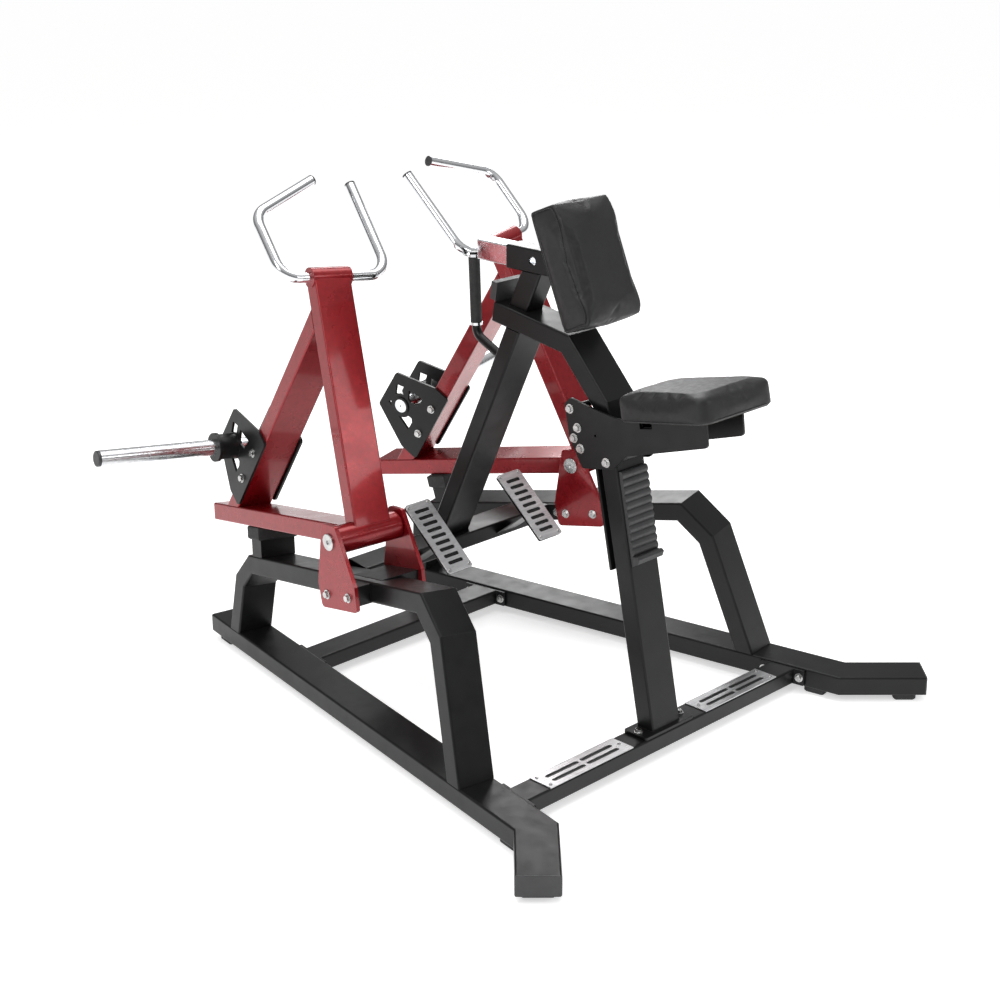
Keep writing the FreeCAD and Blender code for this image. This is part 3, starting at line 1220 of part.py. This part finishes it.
# ---------------------------------------------------------------- build
def build():
    base()
    front_bar, front_bolts = crossbar(FRONT_BAR_Y, FRONT_BAR_D)
    rear_bar, rear_bolts = crossbar(REAR_BAR_Y, REAR_BAR_D)
    write("front_crossbar", front_bar)
    write("rear_crossbar", rear_bar)
    write_pair("arch", arch())
    beam, beam_bolts = upper_crossbeam()
    write("upper_crossbeam", beam)
    stub, plates, plate_bolts, caps, shaft = pivot_parts()
    write("pivot_stubs", *both_sides([stub]))
    write("pivot_plates", *both_sides(plates))
    write("pivot_shafts", *both_sides([shaft.fuse(caps)]))
    tube, bearings = pivot_tube()
    write_pair("pivot_tube", tube)
    write_pair("pivot_bearings", *bearings)
    arm_beam, leg, back_leg, sleeve = arm_parts()
    write_pair("arm_beam", arm_beam)
    write_pair("arm_front_leg", leg.fuse(sleeve))
    write_pair("arm_rear_leg", back_leg)
    grip, plugs = handle()
    write_pair("handle", grip)
    horn_plates, collar, horn, cap, horn_bolts = horn_parts()
    write_pair("end_plugs", cap, *plugs)
    write_pair("horn_plates", *horn_plates, collar)
    write_pair("weight_horn", horn)
    write_pair("horn_bolts", *horn_bolts)
    bumper_post, bumper = bumper_parts()
    write("bumper_posts", *both_sides([bumper_post]))
    write("rubber_bumpers", *both_sides([bumper]))
    post, post_bolts = main_post()
    write("main_post", post)
    write("seat_guide_strip", strip_parts())
    write("rear_post", rear_post())
    write("chest_post", chest_post())
    chest_sleeve, chest_tube, pad_board, chest_pad = chest_parts()
    write("chest_sleeve", chest_sleeve)
    write("chest_tube", chest_tube)
    write("chest_pad_board", pad_board)
    write("chest_pad", chest_pad)
    housing, pin, knob = pull_pin()
    write("pin_housing", housing)
    write("pull_pin", pin.fuse(knob))
    grip_tube, rings, rubber = fixed_grip()
    post_room = envelope(rear_post_line(), REAR_POST_D, -TUBE_W / 2, TUBE_W / 2)
    write("centre_grip_tube", grip_tube.cut(placed(post_room, SIDE)))
    write("centre_grip_rings", *rings)
    write("centre_grip_rubber", rubber)
    write("seat_rack", rack())
    side_plates, cross, rollers, spacers, latch, blocks, seat_bolts = carriage()
    write("seat_side_plates", *side_plates)
    write("seat_crosspieces", cross, *spacers, latch)
    write("seat_rollers", *rollers, *blocks)
    write("seat_bolts", *seat_bolts)
    board, cushion = seat()
    write("seat_board", board)
    write("seat_pad", cushion)
    plate, backing, bracket, foot_screws = foot_plates()
    step, step_screws = step_plates()
    write("foot_plates", *both_sides([plate]))
    write("foot_plate_brackets", *both_sides([backing.fuse(bracket)]))
    write("step_plates", *both_sides([step]))
    write("plate_screws", *both_sides(foot_screws + step_screws))
    write("frame_bolts", *front_bolts, *rear_bolts, *beam_bolts, *both_sides(plate_bolts), *post_bolts)


build()
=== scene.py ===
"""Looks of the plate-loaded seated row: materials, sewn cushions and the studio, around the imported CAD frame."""
import json
import math

import bmesh
import bpy
import numpy as np
from mathutils import Matrix, Vector


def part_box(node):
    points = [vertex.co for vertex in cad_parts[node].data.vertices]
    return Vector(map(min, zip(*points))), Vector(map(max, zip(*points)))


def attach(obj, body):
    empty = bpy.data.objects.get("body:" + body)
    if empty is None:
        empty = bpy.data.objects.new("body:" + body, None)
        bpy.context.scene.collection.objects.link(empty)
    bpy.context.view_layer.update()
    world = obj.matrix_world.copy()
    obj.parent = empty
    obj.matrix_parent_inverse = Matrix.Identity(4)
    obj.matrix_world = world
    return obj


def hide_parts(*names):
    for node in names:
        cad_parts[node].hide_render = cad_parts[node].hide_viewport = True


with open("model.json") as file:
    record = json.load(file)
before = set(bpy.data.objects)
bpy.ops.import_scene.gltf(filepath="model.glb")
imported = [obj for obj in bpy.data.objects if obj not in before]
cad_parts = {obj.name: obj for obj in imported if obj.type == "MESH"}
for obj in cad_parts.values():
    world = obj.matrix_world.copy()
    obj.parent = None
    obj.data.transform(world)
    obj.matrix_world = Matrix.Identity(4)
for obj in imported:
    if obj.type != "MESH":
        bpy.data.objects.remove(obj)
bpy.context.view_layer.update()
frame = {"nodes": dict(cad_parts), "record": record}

MM = 0.001
NODES = frame["nodes"]

# ---------------------------------------------------------------- driving values
POST_LEAN = math.radians(11.94)
CHEST_LEAN = math.radians(23.2)

CAMERA_AT = Vector((-3.8856, -3.8087, 2.5772))
CAMERA_AZIMUTH = math.radians(-45.15)
CAMERA_DOWN = math.radians(19.77)
CAMERA_LENS = 68.92

FLOOR_GLOW = 0.55
SKY_STRENGTH = 0.6

PAD_VOXEL = 5.0 * MM
PAD_INSET = 4.0 * MM
PAD_LIFT = 1.5 * MM
WELT_R = 1.4 * MM
PAD_FRAMES = 16
PAD_CAP = 7.0 * MM


# ---------------------------------------------------------------- node helpers
class Look:
    """A procedural material: one Principled shader, with textures placed by the piece's own coordinates."""

    def __init__(self, name, color, roughness, metallic=0.0):
        self.material = bpy.data.materials.new(name)
        self.material.use_nodes = True
        self.tree = self.material.node_tree
        self.shader = self.tree.nodes["Principled BSDF"]
        self.set("Base Color", (*color, 1.0))
        self.set("Roughness", roughness)
        self.set("Metallic", metallic)
        self.place = self.add("ShaderNodeTexCoord").outputs["Object"]
        self.normal = None

    def add(self, kind, **values):
        node = self.tree.nodes.new(kind)
        for key, value in values.items():
            setattr(node, key, value)
        return node

    def set(self, socket, value):
        self.shader.inputs[socket].default_value = value

    def link(self, output, target):
        self.tree.links.new(output, target)

    def noise(self, scale, detail=3.0, rough=0.55, stretch=(1.0, 1.0, 1.0)):
        mapping = self.add("ShaderNodeMapping")
        mapping.inputs["Scale"].default_value = stretch
        self.link(self.place, mapping.inputs["Vector"])
        node = self.add("ShaderNodeTexNoise")
        node.inputs["Scale"].default_value = scale
        node.inputs["Detail"].default_value = detail
        node.inputs["Roughness"].default_value = rough
        self.link(mapping.outputs["Vector"], node.inputs["Vector"])
        return node.outputs["Fac"]

    def cells(self, scale, feature="F1"):
        node = self.add("ShaderNodeTexVoronoi", feature=feature)
        node.inputs["Scale"].default_value = scale
        self.link(self.place, node.inputs["Vector"])
        return node.outputs["Distance"]

    def ramp(self, source, stops):
        node = self.add("ShaderNodeValToRGB")
        elements = node.color_ramp.elements
        elements[0].position, elements[0].color = stops[0][0], (*stops[0][1], 1.0)
        elements[1].position, elements[1].color = stops[-1][0], (*stops[-1][1], 1.0)
        for position, color in stops[1:-1]:
            elements.new(position).color = (*color, 1.0)
        self.link(source, node.inputs["Fac"])
        return node.outputs["Color"]

    def spread(self, source, low, high, start=0.3, end=0.7):
        node = self.add("ShaderNodeMapRange")
        node.inputs["From Min"].default_value = start
        node.inputs["From Max"].default_value = end
        node.inputs["To Min"].default_value = low
        node.inputs["To Max"].default_value = high
        self.link(source, node.inputs["Value"])
        return node.outputs["Result"]

    def color_from(self, source, stops):
        self.link(self.ramp(source, stops), self.shader.inputs["Base Color"])

    def roughness_from(self, source, low, high, start=0.3, end=0.7):
        self.link(self.spread(source, low, high, start, end), self.shader.inputs["Roughness"])

    def soft_edges(self, radius):
        """Edges catch light as if they were rounded by this radius."""
        bevel = self.add("ShaderNodeBevel", samples=6)
        bevel.inputs["Radius"].default_value = radius
        self.normal = bevel.outputs["Normal"]
        self.link(self.normal, self.shader.inputs["Normal"])

    def bump(self, source, height, strength=1.0):
        node = self.add("ShaderNodeBump")
        node.inputs["Distance"].default_value = height
        node.inputs["Strength"].default_value = strength
        self.link(source, node.inputs["Height"])
        if self.normal is not None:
            self.link(self.normal, node.inputs["Normal"])
        self.normal = node.outputs["Normal"]
        self.link(self.normal, self.shader.inputs["Normal"])


# ---------------------------------------------------------------- materials
def black_paint():
    look = Look("black_powder_coat", (0.009, 0.009, 0.009), 0.36)
    look.color_from(look.noise(3.0, 4.0), [(0.35, (0.0045, 0.0045, 0.0047)), (0.65, (0.0075, 0.0075, 0.0077))])
    look.roughness_from(look.noise(22.0, 5.0), 0.28, 0.38)
    look.set("Specular IOR Level", 0.28)
    look.soft_edges(1.6 * MM)
    look.bump(look.noise(900.0, 2.0), 0.05 * MM, 0.55)
    return look.material


def red_paint():
    look = Look("metallic_red_paint", (0.4, 0.01, 0.02), 0.3, 0.45)
    look.color_from(look.noise(60.0, 2.0, 0.7), [(0.3, (0.22, 0.004, 0.007)), (0.7, (0.3, 0.006, 0.011))])
    look.roughness_from(look.noise(14.0, 4.0), 0.24, 0.34)
    look.set("Coat Weight", 0.4)
    look.set("Coat Roughness", 0.06)
    look.soft_edges(1.8 * MM)
    look.bump(look.noise(420.0, 2.0), 0.012 * MM, 0.3)
    return look.material


def chrome():
    look = Look("polished_chrome", (0.82, 0.83, 0.85), 0.1, 1.0)
    look.roughness_from(look.noise(55.0, 6.0), 0.07, 0.17)
    look.bump(look.noise(1200.0, 3.0, 0.6, (1.0, 1.0, 0.2)), 0.02 * MM, 0.2)
    return look.material


def satin_horn():
    look = Look("satin_chromed_steel", (0.74, 0.75, 0.77), 0.22, 1.0)
    look.color_from(look.noise(30.0, 5.0), [(0.35, (0.66, 0.67, 0.69)), (0.65, (0.82, 0.83, 0.84))])
    look.roughness_from(look.noise(75.0, 6.0), 0.16, 0.3)
    look.bump(look.noise(700.0, 4.0, 0.6, (0.15, 1.0, 1.0)), 0.03 * MM, 0.3)
    return look.material


def leather():
    look = Look("black_grained_leather", (0.03, 0.03, 0.032), 0.5)
    look.color_from(look.noise(9.0, 5.0), [(0.3, (0.011, 0.011, 0.0115)), (0.7, (0.017, 0.017, 0.0175))])
    look.roughness_from(look.noise(60.0, 4.0), 0.42, 0.56)
    look.set("Specular IOR Level", 0.38)
    look.set("Sheen Weight", 0.03)
    look.set("Sheen Roughness", 0.4)
    look.bump(look.cells(620.0, "DISTANCE_TO_EDGE"), 0.16 * MM, 0.5)
    look.bump(look.noise(2200.0, 3.0), 0.05 * MM, 0.4)
    look.bump(look.noise(38.0, 3.0), 0.6 * MM, 0.25)
    return look.material


def rubber(name="moulded_rubber", tone=0.02):
    look = Look(name, (tone, tone, tone), 0.7)
    look.color_from(look.noise(40.0, 5.0), [(0.3, (tone * 0.8,) * 3), (0.7, (tone * 1.35,) * 3)])
    look.roughness_from(look.noise(120.0, 4.0), 0.6, 0.8)
    look.soft_edges(1.2 * MM)
    look.bump(look.noise(1500.0, 3.0), 0.08 * MM, 0.5)
    return look.material


def plastic():
    look = Look("black_moulded_plastic", (0.035, 0.035, 0.037), 0.45)
    look.color_from(look.noise(18.0, 4.0), [(0.3, (0.03, 0.03, 0.032)), (0.7, (0.043, 0.043, 0.045))])
    look.roughness_from(look.noise(90.0, 4.0), 0.38, 0.52)
    look.soft_edges(1.2 * MM)
    look.bump(look.cells(1500.0), 0.05 * MM, 0.5)
    return look.material


def stainless():
    look = Look("brushed_stainless", (0.6, 0.6, 0.61), 0.3, 1.0)
    look.color_from(look.noise(16.0, 5.0, 0.6, (1.0, 10.0, 10.0)), [(0.3, (0.5, 0.5, 0.51)), (0.7, (0.68, 0.68, 0.69))])
    look.roughness_from(look.noise(420.0, 5.0, 0.6, (0.03, 1.0, 1.0)), 0.26, 0.42)
    look.soft_edges(0.7 * MM)
    look.bump(look.noise(900.0, 5.0, 0.7, (0.03, 1.0, 1.0)), 0.06 * MM, 0.4)
    return look.material


def bright_zinc():
    look = Look("bright_zinc", (0.78, 0.78, 0.77), 0.25, 1.0)
    look.color_from(look.noise(60.0, 5.0), [(0.3, (0.42, 0.42, 0.42)), (0.7, (0.6, 0.6, 0.59))])
    look.roughness_from(look.noise(300.0, 4.0), 0.16, 0.3)
    look.soft_edges(0.6 * MM)
    look.bump(look.noise(1800.0, 3.0), 0.03 * MM, 0.4)
    return look.material


def board():
    look = Look("black_stained_board", (0.05, 0.045, 0.04), 0.7)
    grain = look.noise(26.0, 6.0, 0.6, (1.0, 12.0, 1.0))
    look.color_from(grain, [(0.3, (0.02, 0.018, 0.016)), (0.7, (0.05, 0.045, 0.04))])
    look.roughness_from(look.noise(90.0, 3.0), 0.62, 0.8)
    look.bump(grain, 0.15 * MM, 0.5)
    return look.material


LOOKS = {
    "black_paint": black_paint(),
    "red_paint": red_paint(),
    "chrome": chrome(),
    "horn": satin_horn(),
    "pad_leather": leather(),
    "rubber": rubber(),
    "black_plastic": plastic(),
    "stainless_plate": stainless(),
    "bright_steel": bright_zinc(),
    "pad_board": board(),
}


def paint(obj, material):
    obj.data.materials.clear()
    obj.data.materials.append(material)


def paint_cad():
    slots = {entry["node"]: entry["material_slot"] for entry in frame["record"]["subparts"]}
    for name, obj in NODES.items():
        paint(obj, LOOKS["horn" if name.endswith("weight_horn") else slots[name]])


# ---------------------------------------------------------------- sewn cushions
def tilt_frame(node, up):
    """Matrix from a cushion's own axes (X right, Z out of its padded face) to the machine, about its CAD centre."""
    low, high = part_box(node)
    right = Vector((1.0, 0.0, 0.0))
    along = up.cross(right).normalized()
    matrix = Matrix((right, along, up)).transposed().to_4x4()
    matrix.translation = (low + high) / 2
    return matrix


def settle(obj, pinned):
    """Swells a closed mesh by air pressure inside a sewn cover, then freezes it."""
    group = obj.vertex_groups.new(name="held")
    group.add([int(i) for i in pinned], 1.0, "REPLACE")
    cloth = obj.modifiers.new("cloth", "CLOTH")
    settings = cloth.settings
    settings.quality = 4
    settings.mass = 0.4
    settings.use_pressure = True
    settings.uniform_pressure_force = 4.0
    settings.tension_stiffness = 60.0
    settings.compression_stiffness = 60.0
    settings.bending_stiffness = 8.0
    settings.vertex_group_mass = "held"
    settings.effector_weights.gravity = 0.0
    cloth.collision_settings.use_collision = False
    cloth.point_cache.frame_start = 1
    cloth.point_cache.frame_end = PAD_FRAMES
    scene = bpy.context.scene
    for step in range(1, PAD_FRAMES + 1):
        scene.frame_set(step)
    shape = obj.evaluated_get(bpy.context.evaluated_depsgraph_get()).data
    moved = np.array([v.co for v in shape.vertices])
    obj.modifiers.remove(cloth)
    scene.frame_set(1)
    return moved


def cover_shape(name, node, to_pad, edge_radius):
    """Outer form of a CAD pad without the pocket for its board, its edges rounded by edge_radius(edge)."""
    mesh = bpy.data.meshes.new(name)
    shape = bmesh.new()
    for vertex in NODES[node].data.vertices:
        shape.verts.new(to_pad @ vertex.co)
    hull = bmesh.ops.convex_hull(shape, input=shape.verts)
    bmesh.ops.delete(shape, geom=[v for v in shape.verts if not v.link_faces], context="VERTS")
    bmesh.ops.dissolve_limit(shape, angle_limit=math.radians(1.0), verts=shape.verts, edges=shape.edges)
    low = min(v.co.z for v in shape.verts)
    for vertex in shape.verts:
        if vertex.co.z < low + 0.1 * MM:
            vertex.co.z = low + PAD_LIFT
    by_radius = {}
    for edge in shape.edges:
        if len(edge.link_faces) == 2 and edge.calc_face_angle() > math.radians(40):
            by_radius.setdefault(edge_radius(edge), []).append(edge)
    for radius, edges in sorted(by_radius.items(), reverse=True):
        alive = [edge for edge in edges if edge.is_valid]
        bmesh.ops.bevel(shape, geom=alive, offset=radius, segments=5, profile=0.5, affect="EDGES", clamp_overlap=True)
    shape.to_mesh(mesh)
    shape.free()
    obj = bpy.data.objects.new(name, mesh)
    bpy.context.scene.collection.objects.link(obj)
    return obj


def cushion(name, node, body, up, edge_radius, crown, welts):
    """A foam pad under a sewn cover: the CAD form rounded, remeshed, blown up, crowned, and given a welted seam."""
    to_machine = tilt_frame(node, up)
    obj = cover_shape(name, node, to_machine.inverted(), edge_radius)
    points = np.array([v.co for v in obj.data.vertices])
    low, high = points.min(0), points.max(0)
    middle = (low + high) / 2
    half = (high - low) / 2
    shrink = (half - PAD_INSET) / half
    obj.data.vertices.foreach_set("co", ((points - middle) * shrink + middle).ravel())
    remesh = obj.modifiers.new("remesh", "REMESH")
    remesh.mode = "VOXEL"
    remesh.voxel_size = PAD_VOXEL
    smooth = obj.modifiers.new("soft", "SMOOTH")
    smooth.factor = 0.5
    smooth.iterations = 3
    bake(obj)
    rest = np.array([v.co for v in obj.data.vertices])
    base = rest[:, 2].min()
    pinned = np.nonzero(rest[:, 2] < base + 0.6 * PAD_VOXEL)[0]
    moved = settle(obj, pinned)
    step = moved - rest
    length = np.linalg.norm(step, axis=1, keepdims=True)
    step *= np.minimum(1.0, PAD_CAP / np.maximum(length, 1e-9))
    shape = rest + step
    shape = (shape - shape.min(0)) / np.ptp(shape, axis=0) * 2 * half + low
    u = np.clip((shape - middle) / half, -1.0, 1.0)
    dome = (1 - u[:, 0] ** 2) * (1 - u[:, 1] ** 2) * np.clip((u[:, 2] + 0.2) / 1.2, 0, 1)
    shape[:, 2] += crown * dome
    obj.data.vertices.foreach_set("co", shape.ravel())
    obj.data.update()
    divide = obj.modifiers.new("fine", "SUBSURF")
    divide.levels = divide.render_levels = 1
    bake(obj)
    for polygon in obj.data.polygons:
        polygon.use_smooth = True
    seams = [seam(obj, "%s_welt_%d" % (name, k), middle, half, *welt) for k, welt in enumerate(welts)]
    for piece in [obj, *seams]:
        piece.data.transform(to_machine)
        paint(piece, LOOKS["pad_leather"])
        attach(piece, body)
    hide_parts(node)
    return obj


def bake(obj):
    """Applies every modifier of an object to its mesh."""
    shape = bpy.data.meshes.new_from_object(obj.evaluated_get(bpy.context.evaluated_depsgraph_get()))
    obj.modifiers.clear()
    old = obj.data
    obj.data = shape
    bpy.data.meshes.remove(old)


def seam(obj, name, middle, half, axis, level):
    """Welt round a cushion: its outermost points where an axis reaches a share of the half size."""
    points = np.array([v.co for v in obj.data.vertices]) - middle
    near = np.nonzero(np.abs(points[:, axis] - level * half[axis]) < 0.7 * PAD_VOXEL)[0]
    across = [k for k in range(3) if k != axis]
    ring = points[near]
    angle = np.arctan2(ring[:, across[1]] / half[across[1]], ring[:, across[0]] / half[across[0]])
    reach = np.hypot(ring[:, across[0]], ring[:, across[1]])
    count = 140
    bins = ((angle + math.pi) / (2 * math.pi) * count).astype(int) % count
    path = []
    for k in range(count):
        inside = np.nonzero(bins == k)[0]
        if len(inside):
            path.append(ring[inside[np.argmax(reach[inside])]])
    path = np.array(path)
    path[:, axis] = level * half[axis]
    for _ in range(3):
        path = 0.5 * path + 0.25 * (np.roll(path, 1, 0) + np.roll(path, -1, 0))
    return tube(name, path + middle, WELT_R, closed=True)


def tube(name, path, radius, closed=False, sides=8):
    """Round tube mesh along points."""
    curve = bpy.data.curves.new(name, "CURVE")
    curve.dimensions = "3D"
    curve.bevel_depth = radius
    curve.bevel_resolution = sides // 4
    spline = curve.splines.new("POLY")
    spline.points.add(len(path) - 1)
    for point, place in zip(spline.points, path):
        point.co = (*place, 1.0)
    spline.use_cyclic_u = closed
    holder = bpy.data.objects.new(name, curve)
    bpy.context.scene.collection.objects.link(holder)
    mesh = bpy.data.meshes.new_from_object(holder.evaluated_get(bpy.context.evaluated_depsgraph_get()))
    bpy.data.objects.remove(holder)
    obj = bpy.data.objects.new(name, mesh)
    bpy.context.scene.collection.objects.link(obj)
    for polygon in mesh.polygons:
        polygon.use_smooth = True
    return obj


# ---------------------------------------------------------------- studio
def studio_floor():
    """Wide pale floor that reaches past the horizon of the photograph's view."""
    mesh = bpy.data.meshes.new("studio_floor")
    reach = 60.0
    corners = [(-reach, -reach, 0), (reach, -reach, 0), (reach, reach, 0), (-reach, reach, 0)]
    mesh.from_pydata(corners, [], [(0, 1, 2, 3)])
    floor = bpy.data.objects.new("studio_floor", mesh)
    bpy.context.scene.collection.objects.link(floor)
    look = Look("pale_floor", (0.9, 0.9, 0.9), 0.8)
    look.roughness_from(look.noise(2.0, 3.0), 0.75, 0.85)
    look.set("Specular IOR Level", 0.1)
    look.set("Emission Color", (1.0, 1.0, 1.0, 1.0))
    look.set("Emission Strength", FLOOR_GLOW)
    paint(floor, look.material)


def studio_world():
    """White sky overhead that darkens towards the horizon, so gloss and chrome have something to mirror."""
    world = bpy.data.worlds.new("studio")
    bpy.context.scene.world = world
    world.use_nodes = True
    tree = world.node_tree
    sky = tree.nodes["Background"]
    sky.inputs["Strength"].default_value = SKY_STRENGTH
    place = tree.nodes.new("ShaderNodeTexCoord")
    split = tree.nodes.new("ShaderNodeSeparateXYZ")
    ramp = tree.nodes.new("ShaderNodeValToRGB")
    elements = ramp.color_ramp.elements
    elements[0].position, elements[0].color = 0.0, (0.2, 0.2, 0.2, 1.0)
    elements[1].position, elements[1].color = 0.75, (1.0, 1.0, 1.0, 1.0)
    elements.new(0.3).color = (0.42, 0.42, 0.42, 1.0)
    tree.links.new(place.outputs["Generated"], split.inputs["Vector"])
    tree.links.new(split.outputs["Z"], ramp.inputs["Fac"])
    tree.links.new(ramp.outputs["Color"], sky.inputs["Color"])
    seen = tree.nodes.new("ShaderNodeBackground")
    seen.inputs["Color"].default_value = (1.0, 1.0, 1.0, 1.0)
    rays = tree.nodes.new("ShaderNodeLightPath")
    mix = tree.nodes.new("ShaderNodeMixShader")
    tree.links.new(rays.outputs["Is Camera Ray"], mix.inputs["Fac"])
    tree.links.new(sky.outputs["Background"], mix.inputs[1])
    tree.links.new(seen.outputs["Background"], mix.inputs[2])
    tree.links.new(mix.outputs["Shader"], tree.nodes["World Output"].inputs["Surface"])


def softbox(name, place, size, power):
    light = bpy.data.lights.new(name, "AREA")
    light.shape = "RECTANGLE"
    light.size, light.size_y = size
    light.energy = power
    lamp = bpy.data.objects.new(name, light)
    bpy.context.scene.collection.objects.link(lamp)
    lamp.location = place
    aim = Vector((0.0, 0.0, 0.6)) - Vector(place)
    lamp.rotation_euler = aim.to_track_quat("-Z", "Y").to_euler()


def studio():
    bpy.context.scene.view_settings.view_transform = "Standard"
    studio_floor()
    studio_world()
    softbox("key", (-4.2, -1.2, 3.6), (1.4, 3.0), 70.0)
    softbox("front", (1.6, -4.6, 3.0), (2.4, 1.2), 36.0)
    softbox("top", (0.3, 0.4, 4.4), (3.4, 3.4), 95.0)
    softbox("rim", (3.6, 3.4, 3.0), (1.2, 2.6), 60.0)


def camera():
    down = CAMERA_DOWN
    forward = Vector((-math.sin(CAMERA_AZIMUTH) * math.cos(down), math.cos(CAMERA_AZIMUTH) * math.cos(down),
                      -math.sin(down)))
    data = bpy.data.cameras.new("camera")
    data.lens = CAMERA_LENS
    data.clip_end = 60.0
    view = bpy.data.objects.new("camera", data)
    bpy.context.scene.collection.objects.link(view)
    view.location = CAMERA_AT
    view.rotation_euler = forward.to_track_quat("-Z", "Y").to_euler()
    bpy.context.scene.camera = view


def seat_edge(edge):
    """Full radius round the seat's top, a small one where the cover turns under it."""
    return 17 * MM if (edge.verts[0].co.z + edge.verts[1].co.z) > 0 else 8 * MM


def chest_edge(edge):
    """Crisp sewn edge between the side panels and the wrapped front."""
    return 7 * MM


# ---------------------------------------------------------------- build
paint_cad()
post_up = Vector((0.0, math.sin(POST_LEAN), math.cos(POST_LEAN)))
chest_out = Vector((0.0, -math.cos(CHEST_LEAN), math.sin(CHEST_LEAN)))
cushion("seat_cushion", "seat_pad", "seat_carriage", post_up, seat_edge, 3.0 * MM, [(2, -0.84)])
cushion("chest_cushion", "chest_pad", "chest_support", chest_out, chest_edge, 2.0 * MM, [(0, -0.965), (0, 0.965)])
studio()
camera()
